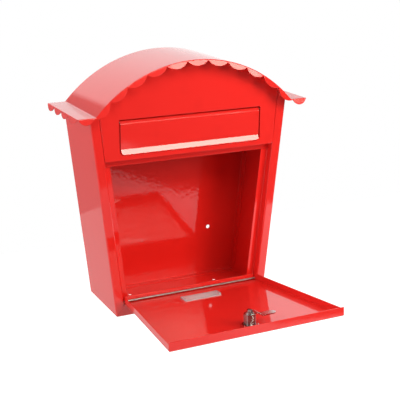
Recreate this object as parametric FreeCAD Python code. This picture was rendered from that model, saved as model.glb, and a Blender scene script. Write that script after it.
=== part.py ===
import FreeCAD, Part
import math
import os
from FreeCAD import Vector

# Wall mounted post box in folded sheet steel, in millimetres.
# Drawn from the middle of the box at the underside of the floor, in the plane of the front face,
# then moved so that the origin is the middle of the four wall holes, in the plane of the wall.
# +X to the right seen from the front, +Y to the wall, +Z up.

# Body
height = 370.0          # underside of the floor to the top of the roof
depth = 108.5           # front face to the wall
base_half = 121.75      # half width at the floor
head_half = 154.1       # half width under the eaves
eave_z = 300.5          # underside of the eaves
sheet = 1.0             # body sheet
bend = 2.0              # outer radius of the folds
floor_bend = 2.5        # outer radius of the fold between side and floor
flange = 14.25          # width of the front flange down each side
strip_top = 17.9        # top of the front strip under the door
return_depth = 13.2     # front face to the door stop
stop_width = 10.5       # width of the door stop
edge_flange = 12.0      # flanges that join the panels inside
drain_x = 72.0
drain_y = 71.5
drain_bore = 5.0
mitre_groove = 0.4      # width and depth of the seam across each lower front corner

# Upper front panel and letter slot
panel_bottom = 233.4
slot_side = 22.9        # edge of the panel to the lower corner of the slot
slot_bottom = 243.8
slot_top = 291.2
slot_corner = 1.5

# Back panel
wall_hole_x = 79.0
wall_hole_low = 78.0
wall_hole_rise = 180.0
wall_hole_bore = 6.0

# Roof
roof_sheet = 1.0
roof_overhang = 20.0    # in front of the front face
arch_half = 151.4       # half span of the arch where it would meet the eaves
valley_bend = 3.0       # radius in the fold between arch and eave
roof_half = 177.2       # half width over the eaves
roof_bend = 1.2         # outer radius of the fold into the scalloped edge
scallop_lean = 14.0     # how far the scalloped edge stands out from plumb, in degrees
scallop_drop = 8.6      # top surface to the lowest point of a scallop
notch_drop = 1.3        # top surface to the notch between two scallops
arch_scallops = 11
side_scallops = 4
side_pitch = 30.1       # from the back, the one at the front takes what is left
corner_relief = 1.3     # open corner between the front edge and a side edge
valley_notch_x = 154.2  # notch between arch and eave

# Door
door_sheet = 0.8
door_bend = 1.8
rod_radius = 1.5
rod_y = 3.0             # hinge axis behind the front face
rod_z = 21.4
open_angle = 85.4       # door as modelled, from closed
door_gap = 1.2          # beside the door
door_top_gap = 1.8      # under the upper panel
door_foot = 2.5         # hinge axis to the lower edge of the closed door
free_flange = 12.8      # depth of the flange at the free edge
side_flange = 10.4      # depth of the flanges at the sides
hinge_flange = 9.4      # depth of the flange at the hinge
corner_slit = 0.5       # slit between two flanges at a corner
flange_corner = 5.0     # rounded ends of the side flanges at the hinge

# Viewing window
window_rise = 32.0      # hinge axis to the middle of the window
window_slot = (50.0, 14.0)
window_rim = (59.0, 21.0)
window_rim_thick = 1.2
window_lug = (4.0, 15.0, 1.6)
window_corner = 3.0

# Cam lock
lock_rise = 182.0       # hinge axis to the lock
barrel_radius = 8.25
barrel_flats = 14.0
barrel_length = 18.4    # outer door face to the end of the barrel
barrel_back = 1.5
head_radius = 11.0
head_thick = 2.4
head_chamfer = 0.6
nut_flats = 22.0
nut_thick = 4.2
nut_slant = 60.0        # chamfer round the corners of the nuts, from the axis
plug_radius = 5.5
plug_neck = 4.0
plug_square = 5.6
plug_stud = 2.0
plug_recess = 0.3
key_slot = (2.0, 7.0, 6.0)
stop_washer_radius = 8.0
stop_washer_thick = 0.8
cam_thick = 1.6
cam_width = 12.0
cam_reach = 39.2        # lock axis to the end of the cam
cam_drop = 4.8          # how far the cam is cranked towards the door
cam_crank = (9.4, 16.9)
cam_bend = 2.4
cam_washer_radius = 5.0
cam_washer_thick = 1.0
cam_nut_flats = 7.0
cam_nut_thick = 3.0
stud_end = 0.4          # stud standing out of the cam nut

# Letter flap
flap_sheet = 0.9
flap_gap = 1.8          # slot end to the end of the flap
flap_rod_radius = 1.25
flap_rod_y = 4.0
flap_rod_drop = 4.4     # top of the slot to the flap rod
flap_fold_y = -0.3
flap_fold_drop = 6.0    # top of the slot to the fold along the head of the flap
flap_fold_bend = 2.0
flap_foot_y = 1.0       # where the plate meets the lip
flap_foot_drop = 42.2
flap_foot_bend = 1.5
flap_lip_y = -2.4
flap_lip_drop = 49.6
flap_lip_inset = 0.5    # the lip is this much shorter at each end
flap_lip_corner = 4.0
bracket_height = 9.0
bracket_foot = 10.0
bracket_reach = 7.5
bracket_gap = 1.6       # slot end to the bracket

# Fits
running = 0.08          # radial clearance round a rod or shaft
seat = 0.1              # clearance of a piece laid on a curved or moving one
panel_slack = 0.3       # between the side stops and the header

slope = (head_half - base_half) / eave_z
eave_top = eave_z + roof_sheet
arch_rise = height - eave_top
arch_radius = (arch_half ** 2 + arch_rise ** 2) / (2 * arch_rise)
arch_z = height - arch_radius
valley_z = eave_top + valley_bend
valley_x = math.sqrt((arch_radius + valley_bend) ** 2 - (valley_z - arch_z) ** 2)
valley_turn = math.atan2(valley_x, valley_z - arch_z)
door_bottom = rod_z - door_foot
door_top = panel_bottom - door_top_gap
header_bottom = panel_bottom - stop_width
slot_half = base_half + slope * slot_bottom - flange - slot_side
flap_half = slot_half - flap_gap
flap_rod_z = slot_top - flap_rod_drop
above = height + 50.0   # safely clear of the roof


# Half widths at a height

def half_width(z):
    return base_half + slope * z


def opening_half(z):
    return half_width(z) - flange


def door_half(z):
    return opening_half(z) - door_gap


def inside_half(z):
    return half_width(z) - sheet


# Planes to draw in

def in_xz(y):
    return lambda u, v: Vector(u, y, v)


def in_xy(z):
    return lambda u, v: Vector(u, v, z)


def in_yz(x):
    return lambda u, v: Vector(x, u, v)


# A closed wire through corners (u, v, radius), each corner rounded by its radius
def rounded_wire(corners, place):
    count = len(corners)
    spans = []
    for i in range(count):
        u, v, radius = corners[i]
        before = corners[i - 1]
        after = corners[(i + 1) % count]
        du, dv = before[0] - u, before[1] - v
        eu, ev = after[0] - u, after[1] - v
        d, e = math.hypot(du, dv), math.hypot(eu, ev)
        du, dv, eu, ev = du / d, dv / d, eu / e, ev / e
        half = math.acos(max(-1.0, min(1.0, du * eu + dv * ev))) / 2
        if radius <= 0 or half > math.radians(89.9):
            spans.append([(u, v)])
            continue
        reach = radius / math.tan(half)
        mu, mv = du + eu, dv + ev
        m = math.hypot(mu, mv)
        middle = radius / math.sin(half) - radius
        spans.append([(u + du * reach, v + dv * reach),
                      (u + mu / m * middle, v + mv / m * middle),
                      (u + eu * reach, v + ev * reach)])
    edges = []
    for i in range(count):
        span = [place(*p) for p in spans[i]]
        start = place(*spans[(i + 1) % count][0])
        if len(span) == 3:
            edges.append(Part.Arc(*span).toShape())
        if span[-1].distanceToPoint(start) > 1e-6:
            edges.append(Part.LineSegment(span[-1], start).toShape())
    return Part.Wire(edges)


# A flat outline made solid between two planes
def prism(corners, place, along):
    return Part.Face(rounded_wire(corners, place)).extrude(along)


# The section of a folded sheet: path (u, v, outer fold radius), sheet laid to the left of the path
def folded(path, thick):
    count = len(path)
    ways = []
    for i in range(count - 1):
        du, dv = path[i + 1][0] - path[i][0], path[i + 1][1] - path[i][1]
        d = math.hypot(du, dv)
        ways.append((du / d, dv / d))
    near, far = [], []
    for i, (u, v, radius) in enumerate(path):
        a, b = ways[max(i - 1, 0)], ways[min(i, count - 2)]
        turn = a[0] * b[1] - a[1] * b[0]
        nu, nv = -a[1] - b[1], a[0] + b[0]
        n = math.hypot(nu, nv)
        offset = thick / (n / 2)
        inner = max(radius - thick, 0.0)
        near.append((u, v, radius if turn > 0 else inner))
        far.append((u + nu / n * offset, v + nv / n * offset, inner if turn > 0 else radius))
    near[0], near[-1] = near[0][:2] + (0,), near[-1][:2] + (0,)
    far[0], far[-1] = far[0][:2] + (0,), far[-1][:2] + (0,)
    return near + far[::-1]


def mirrored(shape):
    return shape.mirror(Vector(0, 0, 0), Vector(1, 0, 0))


def both_sides(shape):
    return [shape, mirrored(shape)]


def joined(shapes):
    whole = shapes[0].fuse(shapes[1:])
    return whole.removeSplitter()


# A section at height z0, drawn at the left side, run up the slope of that side
def up_the_side(section, z0, z1):
    climb = Vector(-slope * (z1 - z0), 0, z1 - z0)
    return prism(section, in_xy(z0), climb)


def across(section, half):
    return prism(section, in_yz(-half), Vector(2 * half, 0, 0))


def bore(x, y, z, radius, along):
    return Part.makeCylinder(radius, along.Length, Vector(x, y, z), along)


# A point of the fold between eave and arch, at a depth under the roof's top surface
def valley_point(sunk, part_turn, side):
    turn = part_turn * valley_turn
    r = valley_bend + sunk
    return (side * (valley_x - r * math.sin(turn)), valley_z - r * math.cos(turn))


# The roof's section at that depth: eave, valley, arch, valley, eave, closed at another height
def roof_face(sunk, half, closing, place):
    level = eave_top - sunk
    left = [valley_point(sunk, f, -1) for f in (0, 0.5, 1)]
    right = [valley_point(sunk, f, 1) for f in (1, 0.5, 0)]
    crown = (0, arch_z + arch_radius - sunk)
    edges = [Part.Arc(*[place(*p) for p in three]).toShape()
             for three in (left, [left[2], crown, right[0]], right)]
    ring = [right[2], (half, level), (half, closing), (-half, closing), (-half, level), left[0]]
    edges += [Part.LineSegment(place(*a), place(*b)).toShape() for a, b in zip(ring, ring[1:])]
    return Part.Face(Part.Wire(Part.__sortEdges__(edges)))


# Everything above the underside of the roof
def above_roof(gap):
    y = -roof_overhang - 10
    face = roof_face(roof_sheet + gap, roof_half + 20, above, in_xz(y))
    return face.extrude(Vector(0, depth + 10 - y, 0))


# Trapezium that follows the sides between two heights
def tapered(half_at, z0, z1, corner, y0, y1):
    corners = [(-half_at(z0), z0, corner), (half_at(z0), z0, corner),
               (half_at(z1), z1, 0), (-half_at(z1), z1, 0)]
    return prism(corners, in_xz(y0), Vector(0, y1 - y0, 0))


def fillet_front(shape, y, radius, z_below):
    edges = []
    for edge in shape.Edges:
        box = edge.BoundBox
        flat = abs(box.YMin - y) < 1e-4 and abs(box.YMax - y) < 1e-4
        if flat and box.ZMin < z_below - 1e-3:
            edges.append(edge)
    return shape.makeFillet(radius, edges)


# Sides and floor, folded from one sheet
def body_shell():
    top = arch_z + arch_radius
    stop_top = header_bottom - panel_slack
    strip_under = strip_top - sheet

    def side_path(z, last):
        x = -half_width(z)
        path = [(x, depth, 0), (x, 0, bend), (x + flange, 0, bend),
                (x + flange, return_depth, bend), (x + flange + stop_width, return_depth, 0)]
        return folded(path[:last], sheet)

    side = joined([up_the_side(side_path(0, 3), 0, strip_under),
                   up_the_side(side_path(strip_under, 5), strip_under, stop_top),
                   up_the_side(side_path(stop_top, 4), stop_top, top)])
    floor = across(folded([(0, strip_top, 0), (0, 0, bend), (depth, 0, 0)], sheet), base_half + bend)
    ledge_path = [(return_depth, strip_top, 0), (0, strip_top, bend), (0, bend, 0)]
    ledge = across(folded(ledge_path, sheet), opening_half(strip_top) + 0.6 * sheet)
    wall_height = 2 * floor_bend
    wrap = tapered(half_width, 0, wall_height, floor_bend, bend, depth)
    wrap = wrap.cut(tapered(inside_half, sheet, wall_height + 1, floor_bend - sheet, 0, depth + 1))
    shape = joined(both_sides(side) + [floor, ledge, wrap])
    envelope = fillet_front(tapered(half_width, 0, top, floor_bend, 0, depth), 0, bend, top)
    shape = shape.common(envelope).cut(above_roof(0))
    cuts = [bore(x, drain_y, -sheet, drain_bore / 2, Vector(0, 0, 4 * sheet)) for x in (-drain_x, drain_x)]
    hole_half = opening_half(rod_z) + 2 * sheet
    cuts.append(bore(-hole_half, rod_y, rod_z, rod_radius + running, Vector(2 * hole_half, 0, 0)))
    return shape.cut(cuts + both_sides(mitre_seam())).removeSplitter()


# Fine seam from the lower corner of the opening to the lower corner of the box
def mitre_seam():
    inner = (-opening_half(strip_top), strip_top)
    outer = (-base_half, 0)
    run = math.hypot(inner[0] - outer[0], inner[1] - outer[1])
    nu, nv = (inner[1] - outer[1]) / run, (outer[0] - inner[0]) / run
    w = mitre_groove / 2
    corners = [(inner[0] + nu * w, inner[1] + nv * w, 0), (inner[0] - nu * w, inner[1] - nv * w, 0),
               (outer[0] - nu * w, outer[1] - nv * w, 0), (outer[0] + nu * w, outer[1] + nv * w, 0)]
    return prism(corners, in_xz(-1), Vector(0, 1 + mitre_groove, 0))


# Upper front: plate between the side flanges, header folded under it, letter slot
def front_panel():
    top = arch_z + arch_radius
    z0 = header_bottom
    x = -opening_half(panel_bottom)
    lap = 30.0
    side_path = folded([(x, edge_flange, 0), (x, 0, bend), (lap, 0, 0)], sheet)
    side = up_the_side(side_path, panel_bottom, top)
    header_path = folded([(0, panel_bottom + lap, 0), (0, panel_bottom, bend),
                          (return_depth, panel_bottom, bend), (return_depth, header_bottom, 0)], sheet)
    header = across(header_path, opening_half(panel_bottom + lap))
    shape = joined(both_sides(side) + [header])
    limits = tapered(opening_half, z0, top, 0, 0, return_depth + sheet)
    width, rise = slot_half, slot_top - slot_bottom
    slot = [(-width, slot_bottom, slot_corner), (width, slot_bottom, slot_corner),
            (width, slot_bottom + rise, slot_corner), (-width, slot_bottom + rise, slot_corner)]
    cutter = prism(slot, in_xz(-1), Vector(0, 1 + 2 * sheet, 0))
    return shape.common(limits).cut([above_roof(seat), cutter]).removeSplitter()


# Back: plate between the sides with flanges against them and on the floor
def back_panel():
    top = arch_z + arch_radius
    x = -inside_half(sheet)
    lap = 60.0
    side_path = folded([(lap, depth, 0), (x, depth, bend), (x, depth - edge_flange, 0)], sheet)
    side = up_the_side(side_path, sheet, top)
    foot_path = folded([(depth - edge_flange, sheet, 0), (depth, sheet, bend), (depth, sheet + lap, 0)], sheet)
    foot = across(foot_path, base_half)
    shape = joined(both_sides(side) + [foot])
    limits = tapered(inside_half, sheet, top, floor_bend, depth - edge_flange, depth)
    cuts = [above_roof(seat)]
    for px in (-wall_hole_x, wall_hole_x):
        for pz in (wall_hole_low, wall_hole_low + wall_hole_rise):
            start = depth - 2 * sheet
            cuts.append(bore(px, start, pz, wall_hole_bore / 2, Vector(0, 3 * sheet, 0)))
    return shape.common(limits).cut(cuts).removeSplitter()


# What is cut away under a row of scallops: arcs from notch to notch, closed below
def under_scallops(notches, dips, low, place):
    edges = []
    for i, dip in enumerate(dips):
        edges.append(Part.Arc(place(*notches[i]), place(*dip), place(*notches[i + 1])).toShape())
    first, last = notches[0], notches[-1]
    ring = [last, (last[0] + 5, last[1]), (last[0] + 5, low), (first[0] - 5, low), (first[0] - 5, first[1]), first]
    edges += [Part.LineSegment(place(*a), place(*b)).toShape() for a, b in zip(ring, ring[1:])]
    return Part.Face(Part.Wire(edges))


# Notches and lowest points along the front, from the left eave over the arch to the right eave
def front_scallops():
    valley = (valley_notch_x, eave_top - notch_drop)
    end_angle = math.atan2(valley[0], valley[1] - arch_z)
    step = 2 * end_angle / arch_scallops

    def on_arch(angle, drop):
        r = arch_radius - drop
        return (r * math.sin(angle), arch_z + r * math.cos(angle))

    corner = (roof_half - corner_relief, eave_top - notch_drop)
    eave_dip = ((valley[0] + corner[0]) / 2, eave_top - scallop_drop)
    notches = [(-corner[0], corner[1]), (-valley[0], valley[1])]
    notches += [on_arch(i * step - end_angle, notch_drop) for i in range(1, arch_scallops)]
    notches += [valley, corner]
    dips = [(-eave_dip[0], eave_dip[1])]
    dips += [on_arch((i + 0.5) * step - end_angle, scallop_drop) for i in range(arch_scallops)]
    dips += [eave_dip]
    return notches, dips


# The section across an edge of the roof: flat sheet, fold, scalloped edge standing out from plumb
def edge_section(inner, reach, low):
    lean = math.tan(math.radians(scallop_lean))
    return folded([(inner, 0, 0), (reach, 0, roof_bend), (reach - lean * low, -low, 0)], roof_sheet)


# One section carried along the left eave, round the valley and over the arch, the side edges added
def roof():
    low = 2 * scallop_drop
    end = roof_half - corner_relief
    start = corner_relief - roof_overhang
    turn = math.degrees(valley_turn)
    section = edge_section(depth, -roof_overhang, low)

    def across_edge(x, z):
        return Part.Face(rounded_wire(section, lambda u, v: Vector(x, u, z + v)))

    eave = across_edge(-end, eave_top).extrude(Vector(end - valley_x, 0, 0))
    valley = across_edge(-valley_x, eave_top)
    valley = valley.revolve(Vector(-valley_x, 0, valley_z), Vector(0, -1, 0), turn)
    crown = across_edge(0, height)
    crown.rotate(Vector(0, 0, arch_z), Vector(0, 1, 0), -turn)
    arch = crown.revolve(Vector(0, 0, arch_z), Vector(0, 1, 0), 2 * turn)
    side = prism(edge_section(-end, -roof_half, low), lambda u, v: Vector(u, start, eave_top + v),
                 Vector(0, depth - start, 0))
    hood = joined([arch] + both_sides(eave) + both_sides(valley) + both_sides(side))

    notches, dips = front_scallops()
    front = under_scallops(notches, dips, eave_top - low - 4, in_xz(start))
    cuts = [front.extrude(Vector(0, -low, 0))]
    ends = [start] + [depth - i * side_pitch for i in range(side_scallops - 1, -1, -1)]
    notches = [(y, eave_top - notch_drop) for y in ends]
    dips = [((y + after) / 2, eave_top - scallop_drop) for y, after in zip(ends, ends[1:])]
    side = under_scallops(notches, dips, eave_top - low - 4, in_yz(end))
    cuts += both_sides(side.extrude(Vector(low, 0, 0)))
    return hood.cut(cuts).removeSplitter()


def rod(y, z, radius, half):
    return bore(-half, y, z, radius, Vector(2 * half, 0, 0))


def hinge_rod():
    return rod(rod_y, rod_z, rod_radius, half_width(rod_z) - 1.5 * sheet)


# The door is drawn closed and then swung open about the hinge rod
def opened(shape):
    swung = shape.copy()
    swung.rotate(Vector(0, rod_y, rod_z), Vector(1, 0, 0), open_angle)
    return swung


def oblong(width, rise, x, z, corner):
    u, v = width / 2, rise / 2
    return [(x - u, z - v, corner), (x + u, z - v, corner), (x + u, z + v, corner), (x - u, z + v, corner)]


def double_d(radius, flats, x, z, y0, y1):
    round_bar = bore(x, y0, z, radius, Vector(0, y1 - y0, 0))
    slab = Part.makeBox(flats, y1 - y0, 2 * radius, Vector(x - flats / 2, y0, z - radius))
    return round_bar.common(slab)


def door_pan():
    def within(z):
        return door_half(z) - door_sheet

    t = door_sheet
    block = fillet_front(tapered(door_half, door_bottom, door_top, 0, 0, free_flange), 0, door_bend, above)
    hollow = tapered(within, door_bottom + t, door_top - t, 0, t, free_flange + 1)
    hollow = fillet_front(hollow, t, door_bend - t, above)
    pan = block.cut(hollow)
    slit_z = door_top - t - corner_slit
    wide = door_half(door_top) + 1
    cuts = [prism([(-wide, door_bottom - 1, 0), (wide, door_bottom - 1, 0), (wide, slit_z, 0),
                   (-wide, slit_z, 0)], in_xz(side_flange), Vector(0, free_flange, 0))]
    inner = within(door_bottom)
    hinge_top = door_bottom + t + 0.2
    cuts.append(Part.makeBox(2 * inner, free_flange, hinge_top - door_bottom + 1,
                             Vector(-inner, hinge_flange, door_bottom - 1)))
    for side in (-1, 1):
        x = side * (within(door_top) + 1)
        cuts.append(Part.makeBox(4, free_flange, corner_slit, Vector(x - 2, door_bend, slit_z)))
        x = side * (inner - corner_slit / 2)
        cuts.append(Part.makeBox(corner_slit, free_flange, hinge_top - door_bottom + 1,
                                 Vector(x - corner_slit / 2, door_bend, door_bottom - 1)))
        cuts.append(flange_end(side))
    lock_z = rod_z + lock_rise
    cuts.append(double_d(barrel_radius + seat, barrel_flats + 2 * seat, 0, lock_z, -1, 2 * t))
    slot = oblong(*window_slot, 0, rod_z + window_rise, window_slot[1] / 2 - 0.01)
    cuts.append(prism(slot, in_xz(-1), Vector(0, 1 + 2 * t, 0)))
    half = door_half(rod_z) + 1
    cuts.append(rod(rod_y, rod_z, rod_radius + running, half))
    return opened(pan.cut(cuts).removeSplitter())


# What is cut from a side flange to round its end at the hinge
def flange_end(side):
    r = flange_corner
    x0 = side * door_half(door_bottom)
    block = Part.makeBox(4, r + 1, r + 1, Vector(x0 - 2, side_flange - r, door_bottom - 1))
    round_bar = bore(x0 - 2, side_flange - r, door_bottom + r, r, Vector(4, 0, 0))
    inner = Part.makeBox(4, r, r + 1, Vector(x0 - 2, side_flange - r, door_bottom + r))
    return block.cut([round_bar, inner])


def view_window():
    z = rod_z + window_rise
    t = door_sheet
    rim = prism(oblong(*window_rim, 0, z, window_corner), in_xz(t), Vector(0, window_rim_thick, 0))
    plug_size = (window_slot[0] - 2 * seat, window_slot[1] - 2 * seat)
    plug = prism(oblong(*plug_size, 0, z, plug_size[1] / 2 - 0.01), in_xz(0), Vector(0, t, 0))
    wide, tall, thick = window_lug
    lugs = []
    for side in (-1, 1):
        x = side * (window_rim[0] - wide) / 2
        lug = oblong(wide, tall, x, z, 1.0)
        lugs.append(prism(lug, in_xz(t + window_rim_thick), Vector(0, thick, 0)))
    return opened(joined([rim, plug] + lugs))


def on_lock(radius, y0, y1):
    return bore(0, y0, rod_z + lock_rise, radius, Vector(0, y1 - y0, 0))


def hexagon(flats, y0, y1):
    r = flats / math.sqrt(3)
    z = rod_z + lock_rise
    corners = [(r * math.sin(math.radians(60 * i)), z + r * math.cos(math.radians(60 * i)), 0) for i in range(6)]
    return prism(corners, in_xz(y0), Vector(0, y1 - y0, 0))


# A hexagonal nut on the lock, its corners chamfered on the side away from the door
def nut(flats, hole_radius, y0, y1):
    thick = y1 - y0
    wide = flats / 2 + thick * math.tan(math.radians(nut_slant))
    z = rod_z + lock_rise
    cone = Part.makeCone(wide, flats / 2, thick, Vector(0, y0, z), Vector(0, 1, 0))
    return hexagon(flats, y0, y1).common(cone).cut(on_lock(hole_radius, y0 - 1, y1 + 1))


def square_bar(side, y0, y1):
    return prism(oblong(side, side, 0, rod_z + lock_rise, 0), in_xz(y0), Vector(0, y1 - y0, 0))


def lock_barrel():
    z = rod_z + lock_rise
    head = on_lock(head_radius, -head_thick, 0)
    rim = [e for e in head.Edges if abs(e.BoundBox.YMax + head_thick) < 1e-4 and e.BoundBox.XLength > 1]
    head = head.makeChamfer(head_chamfer, rim)
    body = double_d(barrel_radius, barrel_flats, 0, z, 0, barrel_length)
    hollow = on_lock(plug_radius + running, -head_thick - 1, barrel_length - barrel_back)
    back_hole = on_lock(plug_neck + running, 0, barrel_length + 1)
    return opened(joined([head, body]).cut([hollow, back_hole]))


def lock_nut():
    return opened(nut(nut_flats, barrel_radius + seat, door_sheet, door_sheet + nut_thick))


washer_from = barrel_length + seat
cam_from = washer_from + stop_washer_thick
cam_end = cam_from + cam_thick
cam_nut_from = cam_end + cam_washer_thick
cam_nut_end = cam_nut_from + cam_nut_thick


def lock_plug():
    z = rod_z + lock_rise
    front = -head_thick + plug_recess
    back = barrel_length - barrel_back - seat
    pieces = [on_lock(plug_radius, front, back), on_lock(plug_neck, back - 1, washer_from),
              square_bar(plug_square, washer_from - 1, cam_end),
              on_lock(plug_stud, cam_end - 1, cam_nut_end + stud_end)]
    wide, tall, deep = key_slot
    slot = Part.makeBox(wide, deep + 1, tall, Vector(-wide / 2, front - 1, z - tall / 2))
    return opened(joined(pieces).cut(slot))


def square_hole():
    return square_bar(plug_square, 0, cam_nut_end)


def stop_washer():
    return opened(on_lock(stop_washer_radius, washer_from, cam_from).cut(square_hole()))


# The cam points to the right while the door is unlocked
def lock_cam():
    z = rod_z + lock_rise
    low = cam_from - cam_drop
    tail = cam_width / 2
    path = [(-tail, cam_from, 0), (cam_crank[0], cam_from, cam_bend), (cam_crank[1], low, cam_bend),
            (cam_reach, low, 0)]
    bar = prism(folded(path, cam_thick), in_xy(z - tail), Vector(0, 0, cam_width))
    length = cam_reach + tail
    outline = oblong(length, cam_width, length / 2 - tail, z, tail - 0.01)
    limits = prism(outline, in_xz(0), Vector(0, cam_nut_end, 0))
    return opened(bar.common(limits).cut(square_hole()))


def cam_washer():
    hole = on_lock(plug_stud, 0, cam_nut_end)
    return opened(on_lock(cam_washer_radius, cam_end, cam_nut_from).cut(hole))


def cam_nut():
    return opened(nut(cam_nut_flats, plug_stud, cam_nut_from, cam_nut_end))


# Letter flap: curled round its rod, sloping in to the foot, with a lip turned out over the slot's edge
def letter_flap():
    curl = flap_rod_radius + running + flap_sheet
    fold = (flap_fold_y, slot_top - flap_fold_drop)
    du, dv = flap_rod_y - fold[0], flap_rod_z - fold[1]
    reach = math.hypot(du, dv)
    angle = math.atan2(dv, du) + math.asin(curl / reach)
    touch = math.sqrt(reach ** 2 - curl ** 2)
    tangent = (fold[0] + touch * math.cos(angle), fold[1] + touch * math.sin(angle))
    path = [tangent + (0,), fold + (flap_fold_bend,),
            (flap_foot_y, slot_top - flap_foot_drop, flap_foot_bend),
            (flap_lip_y, slot_top - flap_lip_drop, 0)]
    plate = across(folded(path, flap_sheet), flap_half)
    roll = rod(flap_rod_y, flap_rod_z, curl, flap_half)
    shape = joined([plate, roll]).cut(rod(flap_rod_y, flap_rod_z, flap_rod_radius + running, flap_half + 1))
    low, foot = slot_top - flap_lip_drop, slot_top - flap_foot_drop
    inset = flap_half - flap_lip_inset
    corners = [(-inset, low, flap_lip_corner), (inset, low, flap_lip_corner), (inset, foot, 0), (flap_half, foot, 0),
               (flap_half, slot_top, 0), (-flap_half, slot_top, 0), (-flap_half, foot, 0), (-inset, foot, 0)]
    return shape.common(prism(corners, in_xz(-20), Vector(0, 40, 0)))


def flap_bracket():
    x = slot_half + bracket_gap
    path = folded([(x, sheet + bracket_reach, 0), (x, sheet, bend), (x + bracket_foot, sheet, 0)], sheet)
    z0 = flap_rod_z - bracket_height / 2
    angle = prism(path, in_xy(z0), Vector(0, 0, bracket_height))
    hole = rod(flap_rod_y, flap_rod_z, flap_rod_radius, x + 2 * sheet)
    return angle.cut(hole)


def flap_rod():
    return rod(flap_rod_y, flap_rod_z, flap_rod_radius, slot_half + bracket_gap + 2 * sheet)


pieces = {
    "body_shell": body_shell(),
    "back_panel": back_panel(),
    "front_panel": front_panel(),
    "roof": roof(),
    "hinge_rod": hinge_rod(),
    "flap_rod": flap_rod(),
    "flap_bracket_right": flap_bracket(),
    "flap_bracket_left": mirrored(flap_bracket()),
    "door_pan": door_pan(),
    "view_window": view_window(),
    "lock_barrel": lock_barrel(),
    "lock_nut": lock_nut(),
    "lock_plug": lock_plug(),
    "stop_washer": stop_washer(),
    "lock_cam": lock_cam(),
    "cam_washer": cam_washer(),
    "cam_nut": cam_nut(),
    "letter_flap": letter_flap(),
}

to_origin = Vector(0, -depth, -wall_hole_low - wall_hole_rise / 2)

os.makedirs("parts", exist_ok=True)
for name, shape in pieces.items():
    solids = shape.Solids
    if len(solids) != 1 or not shape.isValid():
        print("check", name, "solids", len(solids), "valid", shape.isValid())
    solids[0].translated(to_origin).exportStep("parts/" + name + ".step")
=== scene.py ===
import math

import bpy
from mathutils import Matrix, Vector


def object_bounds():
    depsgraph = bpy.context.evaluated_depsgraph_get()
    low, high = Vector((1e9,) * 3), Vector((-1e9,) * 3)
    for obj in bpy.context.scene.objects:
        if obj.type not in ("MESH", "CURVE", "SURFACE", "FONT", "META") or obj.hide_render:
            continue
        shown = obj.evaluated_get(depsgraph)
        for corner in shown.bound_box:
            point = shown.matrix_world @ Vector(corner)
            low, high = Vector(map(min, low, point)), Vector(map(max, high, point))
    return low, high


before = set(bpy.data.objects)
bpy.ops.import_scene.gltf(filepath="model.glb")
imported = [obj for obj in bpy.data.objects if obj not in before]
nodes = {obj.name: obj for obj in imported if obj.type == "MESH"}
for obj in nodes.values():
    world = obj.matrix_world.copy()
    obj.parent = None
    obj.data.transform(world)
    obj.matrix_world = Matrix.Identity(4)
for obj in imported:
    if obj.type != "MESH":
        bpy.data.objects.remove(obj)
cadLow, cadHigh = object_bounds()
mm = 0.001
plainWhite = (1, 1, 1, 1)
print("frame loaded,", len(nodes), "pieces")


# sRGB hex to the linear colour that the shaders use
def hexColour(text):
    out = []
    for i in (0, 2, 4):
        c = int(text[i:i + 2], 16) / 255
        out.append(c / 12.92 if c <= 0.04045 else ((c + 0.055) / 1.055) ** 2.4)
    return (*out, 1.0)


# adds one node: settings on the node itself, values and links by input name or number
def addNode(tree, kind, settings=None, values=None, links=None):
    node = tree.nodes.new(kind)
    for key, value in (settings or {}).items():
        setattr(node, key, value)
    for key, value in (values or {}).items():
        node.inputs[key].default_value = value
    for key, source in (links or {}).items():
        tree.links.new(source, node.inputs[key])
    return node


def newMaterial(name):
    material = bpy.data.materials.new(name)
    material.use_nodes = True
    material.node_tree.nodes.clear()
    return material, material.node_tree


def dress(material, *names):
    for name in names:
        mesh = nodes[name].data
        mesh.materials.clear()
        mesh.materials.append(material)


# red polyester powder coat on folded steel sheet
powderCoat = {
    "colour": "E81F18",
    "colourThin": "C90F0B",
    "patchSize": 45,                  # mm between thick and thin places
    "patchRange": (0.55, 0.9, 0.25),  # noise where a thin place begins and ends, its share there
    "haze": 0.5,                      # roughness of the pigment under the clear skin
    "pigmentShine": 0.34,             # specular level of the pigment
    "roughness": 0.045,               # of the clear skin
    "ior": 1.5,
    "peelSize": 5.0,                  # mm between the waves of the orange peel
    "peelDepth": 0.014,               # mm
    "insidePeelSize": 5.2,            # the back panel has deeper waves
    "insidePeelDepth": 0.055,
    "peelFine": 1.4,                  # mm, finer grain on top of the waves
    "fineShare": 0.06,
    "edgeRound": 0.6,                 # mm, how far the skin rounds cut and folded edges
    "edgeSamples": 6,
}


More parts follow.
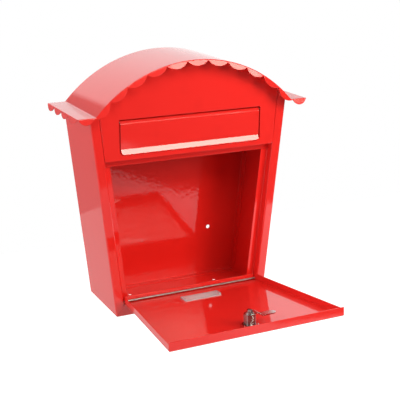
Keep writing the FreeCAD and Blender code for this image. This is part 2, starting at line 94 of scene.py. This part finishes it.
# Sprayed dry and baked. Under a hard clear skin lies the dull red pigment, which gives the even
# colour and a haze. The skin gives sharp mirror images that break up at their edges into the
# small waves called orange peel, and thin lights along its rounded edges.
def makePowderCoat(inside):
    p = powderCoat
    material, tree = newMaterial("polyesterPowderCoatRed" + ("Inside" if inside else ""))
    size, depth = p["peelSize"], p["peelDepth"]
    if inside:
        size, depth = p["insidePeelSize"], p["insidePeelDepth"]
    place = addNode(tree, "ShaderNodeTexCoord").outputs["Object"]
    patchy = addNode(tree, "ShaderNodeTexNoise",
                     values={"Scale": 1 / (p["patchSize"] * mm), "Detail": 2.0},
                     links={"Vector": place})
    patchFrom, patchTo, patchShare = p["patchRange"]
    share = addNode(tree, "ShaderNodeMapRange",
                    values={"From Min": patchFrom, "From Max": patchTo, "To Max": patchShare},
                    links={"Value": patchy.outputs["Fac"]})
    colour = addNode(tree, "ShaderNodeMix", {"data_type": "RGBA"},
                     {"A": hexColour(p["colour"]), "B": hexColour(p["colourThin"])},
                     {"Factor": share.outputs[0]})
    waves = addNode(tree, "ShaderNodeTexNoise", values={"Scale": 1 / (size * mm), "Detail": 1.0},
                    links={"Vector": place})
    fine = addNode(tree, "ShaderNodeTexNoise",
                   values={"Scale": 1 / (p["peelFine"] * mm), "Detail": 1.0},
                   links={"Vector": place})
    height = addNode(tree, "ShaderNodeMath", {"operation": "MULTIPLY_ADD"}, {1: p["fineShare"]},
                     {0: fine.outputs["Fac"], 2: waves.outputs["Fac"]})
    rounded = addNode(tree, "ShaderNodeBevel", {"samples": p["edgeSamples"]},
                      {"Radius": p["edgeRound"] * mm})
    bump = addNode(tree, "ShaderNodeBump", values={"Strength": 1.0, "Distance": depth * mm},
                   links={"Height": height.outputs[0], "Normal": rounded.outputs[0]})
    shader = addNode(tree, "ShaderNodeBsdfPrincipled",
                     values={"Roughness": p["haze"], "IOR": p["ior"],
                             "Specular IOR Level": p["pigmentShine"], "Coat Weight": 1.0,
                             "Coat IOR": p["ior"], "Coat Roughness": p["roughness"]},
                     links={"Base Color": colour.outputs["Result"],
                            "Normal": bump.outputs["Normal"],
                            "Coat Normal": bump.outputs["Normal"]})
    addNode(tree, "ShaderNodeOutputMaterial", links={"Surface": shader.outputs[0]})
    return material


# bright steel rods
rodSteel = {
    "colour": "B4B3B0",
    "roughness": (0.231, 0.462),  # in the lines and between them
    "lineSpacing": 0.25,          # mm
    "lineDepth": 0.004,           # mm
    "lineStretch": 50,            # times as long as they are wide
}


# Cold drawn bar: fine straight die lines along its length stretch the highlights.
def makeRodSteel():
    p = rodSteel
    material, tree = newMaterial("coldDrawnBrightSteel")
    coords = addNode(tree, "ShaderNodeTexCoord")
    stretch = addNode(tree, "ShaderNodeMapping", {"vector_type": "POINT"},
                      {"Scale": (1 / p["lineStretch"], 1.0, 1.0)},
                      {"Vector": coords.outputs["Object"]})
    lines = addNode(tree, "ShaderNodeTexNoise",
                    values={"Scale": 1 / (p["lineSpacing"] * mm), "Detail": 2.0},
                    links={"Vector": stretch.outputs[0]})
    smoothest, roughest = p["roughness"]
    rough = addNode(tree, "ShaderNodeMapRange", values={"To Min": smoothest, "To Max": roughest},
                    links={"Value": lines.outputs["Fac"]})
    bump = addNode(tree, "ShaderNodeBump",
                   values={"Strength": 1.0, "Distance": p["lineDepth"] * mm},
                   links={"Height": lines.outputs["Fac"]})
    shader = addNode(tree, "ShaderNodeBsdfPrincipled",
                     values={"Base Color": hexColour(p["colour"]), "Metallic": 1.0},
                     links={"Roughness": rough.outputs[0], "Normal": bump.outputs["Normal"]})
    addNode(tree, "ShaderNodeOutputMaterial", links={"Surface": shader.outputs[0]})
    return material


# housing, large nut and plug of the lock
lockNickel = {
    "colour": "C9C7C4",
    "roughness": (0.06, 0.18),
    "waveSize": 3.6,      # mm between the waves that the mould leaves
    "waveDepth": 0.006,   # mm
    "threadPitch": 1.5,   # mm, drawn coarser than the real 1 mm, so that it shows
    "threadDepth": 0.22,  # mm
    "threadLean": 4.6,    # degrees
}


# Zinc die casting under bright nickel: mirror sharp, with faint waves from the mould.
def makeLockNickel(threaded):
    p = lockNickel
    material, tree = newMaterial("nickelPlatedDieCast" + ("Threaded" if threaded else ""))
    place = addNode(tree, "ShaderNodeTexCoord").outputs["Object"]
    waves = addNode(tree, "ShaderNodeTexNoise",
                    values={"Scale": 1 / (p["waveSize"] * mm), "Detail": 3.0},
                    links={"Vector": place})
    smoothest, roughest = p["roughness"]
    rough = addNode(tree, "ShaderNodeMapRange", values={"To Min": smoothest, "To Max": roughest},
                    links={"Value": waves.outputs["Fac"]})
    bump = addNode(tree, "ShaderNodeBump",
                   values={"Strength": 1.0, "Distance": p["waveDepth"] * mm},
                   links={"Height": waves.outputs["Fac"]})
    if threaded:
        along = addNode(tree, "ShaderNodeMapping", {"vector_type": "POINT"},
                        {"Rotation": (math.radians(-p["threadLean"]), 0, 0)}, {"Vector": place})
        # at scale 1 this texture runs through 20 radians in a metre
        thread = addNode(tree, "ShaderNodeTexWave", {"bands_direction": "Z"},
                         {"Scale": 2 * math.pi / (20 * p["threadPitch"] * mm)},
                         {"Vector": along.outputs[0]})
        bump = addNode(tree, "ShaderNodeBump",
                       values={"Strength": 1.0, "Distance": p["threadDepth"] * mm},
                       links={"Height": thread.outputs["Fac"], "Normal": bump.outputs["Normal"]})
    shader = addNode(tree, "ShaderNodeBsdfPrincipled",
                     values={"Base Color": hexColour(p["colour"]), "Metallic": 1.0},
                     links={"Roughness": rough.outputs[0], "Normal": bump.outputs["Normal"]})
    addNode(tree, "ShaderNodeOutputMaterial", links={"Surface": shader.outputs[0]})
    return material


# cam, washers and small nut of the lock
pressedZinc = {
    "colour": "DADBDC",
    "colourWarm": "C9C6BF",
    "cloudSize": 7.2,           # mm between pale and warm places
    "roughness": (0.12, 0.32),
    "grainSize": 0.8,           # mm
    "grainDepth": 0.008,        # mm
}


# Steel strip, pressed and barrel plated with zinc: a soft grain, and a little warmer where the
# passivation is thicker.
def makePressedZinc():
    p = pressedZinc
    material, tree = newMaterial("zincPlatedPressedSteel")
    place = addNode(tree, "ShaderNodeTexCoord").outputs["Object"]
    grain = addNode(tree, "ShaderNodeTexNoise",
                    values={"Scale": 1 / (p["grainSize"] * mm), "Detail": 4.0},
                    links={"Vector": place})
    cloud = addNode(tree, "ShaderNodeTexNoise",
                    values={"Scale": 1 / (p["cloudSize"] * mm), "Detail": 2.0},
                    links={"Vector": place})
    colour = addNode(tree, "ShaderNodeMix", {"data_type": "RGBA"},
                     {"A": hexColour(p["colour"]), "B": hexColour(p["colourWarm"])},
                     {"Factor": cloud.outputs["Fac"]})
    smoothest, roughest = p["roughness"]
    rough = addNode(tree, "ShaderNodeMapRange", values={"To Min": smoothest, "To Max": roughest},
                    links={"Value": grain.outputs["Fac"]})
    bump = addNode(tree, "ShaderNodeBump",
                   values={"Strength": 1.0, "Distance": p["grainDepth"] * mm},
                   links={"Height": grain.outputs["Fac"]})
    shader = addNode(tree, "ShaderNodeBsdfPrincipled", values={"Metallic": 1.0},
                     links={"Base Color": colour.outputs["Result"], "Roughness": rough.outputs[0],
                            "Normal": bump.outputs["Normal"]})
    addNode(tree, "ShaderNodeOutputMaterial", links={"Surface": shader.outputs[0]})
    return material


# window in the door
clearWindow = {
    "colour": "F4F6F8",
    "roughness": 0.12,
    "clearness": 0.6,
    "ior": 1.59,
    "flowSize": 6.0,    # mm
    "flowDepth": 0.02,  # mm
}


# Injection moulded polystyrene: clear, a little milky, with slow waves where the melt flowed.
def makeClearWindow():
    p = clearWindow
    material, tree = newMaterial("mouldedClearPolystyrene")
    coords = addNode(tree, "ShaderNodeTexCoord")
    flow = addNode(tree, "ShaderNodeTexNoise",
                   values={"Scale": 1 / (p["flowSize"] * mm), "Detail": 1.0},
                   links={"Vector": coords.outputs["Object"]})
    bump = addNode(tree, "ShaderNodeBump",
                   values={"Strength": 1.0, "Distance": p["flowDepth"] * mm},
                   links={"Height": flow.outputs["Fac"]})
    shader = addNode(tree, "ShaderNodeBsdfPrincipled",
                     values={"Base Color": hexColour(p["colour"]), "Roughness": p["roughness"],
                             "IOR": p["ior"], "Transmission Weight": p["clearness"]},
                     links={"Normal": bump.outputs["Normal"]})
    addNode(tree, "ShaderNodeOutputMaterial", links={"Surface": shader.outputs[0]})
    return material


dress(makePowderCoat(False), "body_shell", "front_panel", "roof", "flap_bracket_left",
      "flap_bracket_right", "door_pan", "letter_flap")
dress(makePowderCoat(True), "back_panel")
dress(makeRodSteel(), "hinge_rod", "flap_rod")
dress(makeLockNickel(True), "lock_barrel")
dress(makeLockNickel(False), "lock_nut", "lock_plug")
dress(makePressedZinc(), "stop_washer", "lock_cam", "cam_washer", "cam_nut")
dress(makeClearWindow(), "view_window")
print("materials on")


# the photograph's viewing angle
cameraPlace = {
    "place": (-0.59238, -1.34988, 0.41058),
    "azimuth": -25.985,   # degrees
    "elevation": 16.844,  # degrees that it looks down
    "lens": 88.83,        # mm
    "sensor": 36,         # mm
    "clip": (0.01, 50),
}


def makeCamera():
    p = cameraPlace
    data = bpy.data.cameras.new("camera")
    data.lens = p["lens"]
    data.sensor_width = p["sensor"]
    data.clip_start, data.clip_end = p["clip"]
    camera = bpy.data.objects.new("camera", data)
    camera.location = p["place"]
    camera.rotation_euler = (math.radians(90 - p["elevation"]), 0, math.radians(p["azimuth"]))
    bpy.context.scene.collection.objects.link(camera)
    bpy.context.scene.camera = camera


# pale paper on the floor, in metres
studioFloor = {
    "drop": 0.45,              # below the foot of the box, which hangs on a wall
    "outline": [(-2.2, 1.45), (-2.2, -2.25), (0.75, -2.22), (0.87, -1.82), (2.2, -1.55),
                (2.2, 1.45)],
    "colour": "D6D6D6",
    "glow": 0.75,              # lifts the paper to white for the camera
    "shineBehind": 0.26,       # painted light: the level at which gloss alone sees the paper glow behind the box
    "shineAhead": 0.42,        # and in front of it, from this far on
    "shineReach": 0.6,
    "shineRise": 3.0,          # there this painted pool of key light rises by this much a metre to the right
    "shineRiseFrom": 0.62,
    "shineRiseWidth": 0.5,
}


def makeFloor():
    p = studioFloor
    mesh = bpy.data.meshes.new("studioFloor")
    level = cadLow.z - p["drop"]
    corners = p["outline"]
    mesh.from_pydata([(x, y, level) for x, y in corners], [], [range(len(corners))])
    floor = bpy.data.objects.new("studioFloor", mesh)
    bpy.context.scene.collection.objects.link(floor)
    material, tree = newMaterial("studioPaper")
    path = addNode(tree, "ShaderNodeLightPath")
    seen = addNode(tree, "ShaderNodeMath", {"operation": "ADD", "use_clamp": True},
                   links={0: path.outputs["Is Camera Ray"], 1: path.outputs["Is Transmission Ray"]})
    paper = addNode(tree, "ShaderNodeBsdfDiffuse", values={"Color": hexColour(p["colour"])})
    glow = addNode(tree, "ShaderNodeEmission", values={"Color": plainWhite, "Strength": p["glow"]})
    place = addNode(tree, "ShaderNodeNewGeometry")
    axes = addNode(tree, "ShaderNodeSeparateXYZ", links={0: place.outputs["Position"]})
    start, width, ahead = p["shineRiseFrom"], p["shineRiseWidth"], p["shineAhead"]
    right = addNode(tree, "ShaderNodeMapRange",
                    values={"From Min": start, "From Max": start + width, "To Min": ahead,
                            "To Max": ahead + p["shineRise"] * width},
                    links={"Value": axes.outputs["X"]})
    shine = addNode(tree, "ShaderNodeMapRange",
                    values={"From Min": 0.0, "From Max": -p["shineReach"],
                            "To Min": p["shineBehind"]},
                    links={"Value": axes.outputs["Y"], "To Max": right.outputs[0]})
    # painted reflection: the paper glows for gloss rays alone, a painted pool of the key lamp's
    # light, brighter ahead and to the right
    paintedSheen = addNode(tree, "ShaderNodeMath", {"operation": "MULTIPLY"},
                    links={0: shine.outputs[0], 1: path.outputs["Is Glossy Ray"]})
    gloss = addNode(tree, "ShaderNodeEmission", values={"Color": plainWhite},
                    links={"Strength": paintedSheen.outputs[0]})
    dull = addNode(tree, "ShaderNodeAddShader", links={0: paper.outputs[0], 1: gloss.outputs[0]})
    lit = addNode(tree, "ShaderNodeAddShader", links={0: paper.outputs[0], 1: glow.outputs[0]})
    mixed = addNode(tree, "ShaderNodeMixShader",
                    links={0: seen.outputs[0], 1: dull.outputs[0], 2: lit.outputs[0]})
    addNode(tree, "ShaderNodeOutputMaterial", links={"Surface": mixed.outputs[0]})
    mesh.materials.append(material)


# Pale fields of the room, by direction. Each is a name, azimuth from and to (0 behind the box,
# 90 at its right, 180 in front) with the softness of those edges, elevation from and to with
# the softness of those, and a level. A field lies over those before it.
studioWorld = {
    "roomLevel": 0.08,
    "walls": [
        ("backLeft", -90, -10, 5, -60, 40, 12, 0.32),
        ("screen", -10.5, 78, 2.5, -9, 42, 6, 1.38),
        ("screenDim", 22, 78, 24, -9, 42, 6, 1.02),
        ("leftWall", -116, -60, 10, -20, 40, 10, 0.7),
    ],
    # these light the dull colour and don't show in gloss
    "fills": [
        ("leftFill", -116, -60, 10, -20, 40, 10, 2.6),
        ("rightFill", 60, 112, 10, -20, 40, 10, 0.8),
    ],
    # these show in gloss alone, in place of the key box, which only lights
    "glintColour": "FFF8E9",
    "glints": [
        ("lowGlint", 136, 145.5, 2.5, 9.2, 15.2, 2, 10.4),
        ("midGlint", 144.5, 152, 2, 13.2, 17.5, 2, 10.0),
        ("farGlint", 150.5, 161.5, 3, 15.5, 18.4, 1.6, 9.3),
        ("highGlint", 145, 156.5, 3, 29, 34.8, 1.8, 16.0),
    ],
    # and these are the key box as a mirror image within a mirror image
    "deepGlints": [
        ("doorGlint", 154.6, 161, 1.6, 15, 19.4, 2, 10.6),
        ("footGlint", 154.2, 161, 0.8, 21.1, 24, 0.8, 4.0),
        ("backGlint", 151, 161, 1.5, 25.8, 40, 0.7, 4.9),
    ],
    # the world's Ray Depth is one more than the number of bounces: 2 is a mirror image, and 3
    # is one within another
    "deepFrom": 2.5,
}


def makeWorld():
    p = studioWorld
    world = bpy.data.worlds.new("studioWorld")
    world.use_nodes = True
    tree = world.node_tree
    tree.nodes.clear()
    coords = addNode(tree, "ShaderNodeTexCoord")
    axes = addNode(tree, "ShaderNodeSeparateXYZ", links={0: coords.outputs["Generated"]})
    around = addNode(tree, "ShaderNodeMath", {"operation": "ARCTAN2"},
                     links={0: axes.outputs["X"], 1: axes.outputs["Y"]})
    above = addNode(tree, "ShaderNodeMath", {"operation": "ARCSINE"}, links={0: axes.outputs["Z"]})
    turn, rise = [addNode(tree, "ShaderNodeMath", {"operation": "MULTIPLY"}, {1: 180 / math.pi},
                          {0: angle.outputs[0]}).outputs[0]
                  for angle in (around, above)]

    # 1 between two angles and 0 beyond them, with soft ends
    def within(angle, low, high, soft):
        ends = [addNode(tree, "ShaderNodeMapRange", {"interpolation_type": "SMOOTHSTEP"},
                        {"From Min": end - soft / 2, "From Max": end + soft / 2},
                        {"Value": angle}).outputs[0]
                for end in (low, high)]
        return addNode(tree, "ShaderNodeMath", {"operation": "SUBTRACT"},
                       links={0: ends[0], 1: ends[1]}).outputs[0]

    def layered(fields, ground):
        level = None
        for name, left, right, softSide, low, high, softHeight, given in fields:
            mask = addNode(tree, "ShaderNodeMath", {"operation": "MULTIPLY"},
                           links={0: within(turn, left, right, softSide),
                                  1: within(rise, low, high, softHeight)})
            field = addNode(tree, "ShaderNodeMix", {"data_type": "FLOAT", "label": name},
                            {2: ground, 3: given}, {0: mask.outputs[0]})
            if level is not None:
                tree.links.new(level, field.inputs[2])
            level = field.outputs[0]
        return level

    path = addNode(tree, "ShaderNodeLightPath")
    gloss = path.outputs["Is Glossy Ray"]
    dull = addNode(tree, "ShaderNodeMath", {"operation": "SUBTRACT"}, {0: 1.0}, {1: gloss})
    deep = addNode(tree, "ShaderNodeMath", {"operation": "GREATER_THAN"}, {1: p["deepFrom"]},
                   {0: path.outputs["Ray Depth"]})
    glint = addNode(tree, "ShaderNodeMix", {"data_type": "FLOAT"},
                    links={0: deep.outputs[0], 2: layered(p["glints"], 0.0),
                           3: layered(p["deepGlints"], 0.0)})
    glintLevel = addNode(tree, "ShaderNodeMath", {"operation": "MULTIPLY"},
                         links={0: glint.outputs[0], 1: gloss})
    fillLevel = addNode(tree, "ShaderNodeMath", {"operation": "MULTIPLY"},
                        links={0: layered(p["fills"], 0.0), 1: dull.outputs[0]})
    level = addNode(tree, "ShaderNodeMath", {"operation": "ADD"},
                    links={0: layered(p["walls"], p["roomLevel"]), 1: fillLevel.outputs[0]})
    room = addNode(tree, "ShaderNodeBackground", values={"Color": plainWhite},
                   links={"Strength": level.outputs[0]})
    warm = addNode(tree, "ShaderNodeBackground", values={"Color": hexColour(p["glintColour"])},
                   links={"Strength": glintLevel.outputs[0]})
    both = addNode(tree, "ShaderNodeAddShader", links={0: room.outputs[0], 1: warm.outputs[0]})
    # the camera sees plain white behind the object, also through the window
    seen = addNode(tree, "ShaderNodeMath", {"operation": "ADD", "use_clamp": True},
                   links={0: path.outputs["Is Camera Ray"], 1: path.outputs["Is Transmission Ray"]})
    white = addNode(tree, "ShaderNodeBackground", values={"Color": plainWhite, "Strength": 1.0})
    mixed = addNode(tree, "ShaderNodeMixShader",
                    links={0: seen.outputs[0], 1: both.outputs[0], 2: white.outputs[0]})
    addNode(tree, "ShaderNodeOutputWorld", links={"Surface": mixed.outputs[0]})
    bpy.context.scene.world = world


# Lamps aimed at the middle of the box: name, azimuth right of the front, elevation, distance,
# width, height, level, whether gloss shows it. A level of 1 is as bright as white paper in full
# light.
softBoxes = {
    "colour": "FFFEF3",
    "boxes": [
        ("keyBox", 31, 24, 1.1, 0.47, 0.62, 9.6, False),
        ("overhead", 2, 45, 1.3, 0.7, 0.5, 6.4, True),
    ],
}


def makeSoftBoxes():
    p = softBoxes
    middle = (cadLow + cadHigh) / 2
    for name, azimuth, elevation, distance, width, height, level, inGloss in p["boxes"]:
        light = bpy.data.lights.new(name, "AREA")
        light.shape = "RECTANGLE"
        light.size, light.size_y = width, height
        light.energy = level * math.pi * width * height
        light.color = hexColour(p["colour"])[:3]
        lamp = bpy.data.objects.new(name, light)
        a, e = math.radians(azimuth), math.radians(elevation)
        away = Vector((math.sin(a) * math.cos(e), -math.cos(a) * math.cos(e), math.sin(e)))
        lamp.location = middle + away * distance
        lamp.rotation_mode = "QUATERNION"
        lamp.rotation_quaternion = away.to_track_quat("Z", "Y")
        lamp.visible_glossy = inGloss
        bpy.context.scene.collection.objects.link(lamp)


makeCamera()
makeFloor()
makeWorld()
makeSoftBoxes()
bpy.context.scene.view_settings.view_transform = "Standard"
print("camera and studio set")
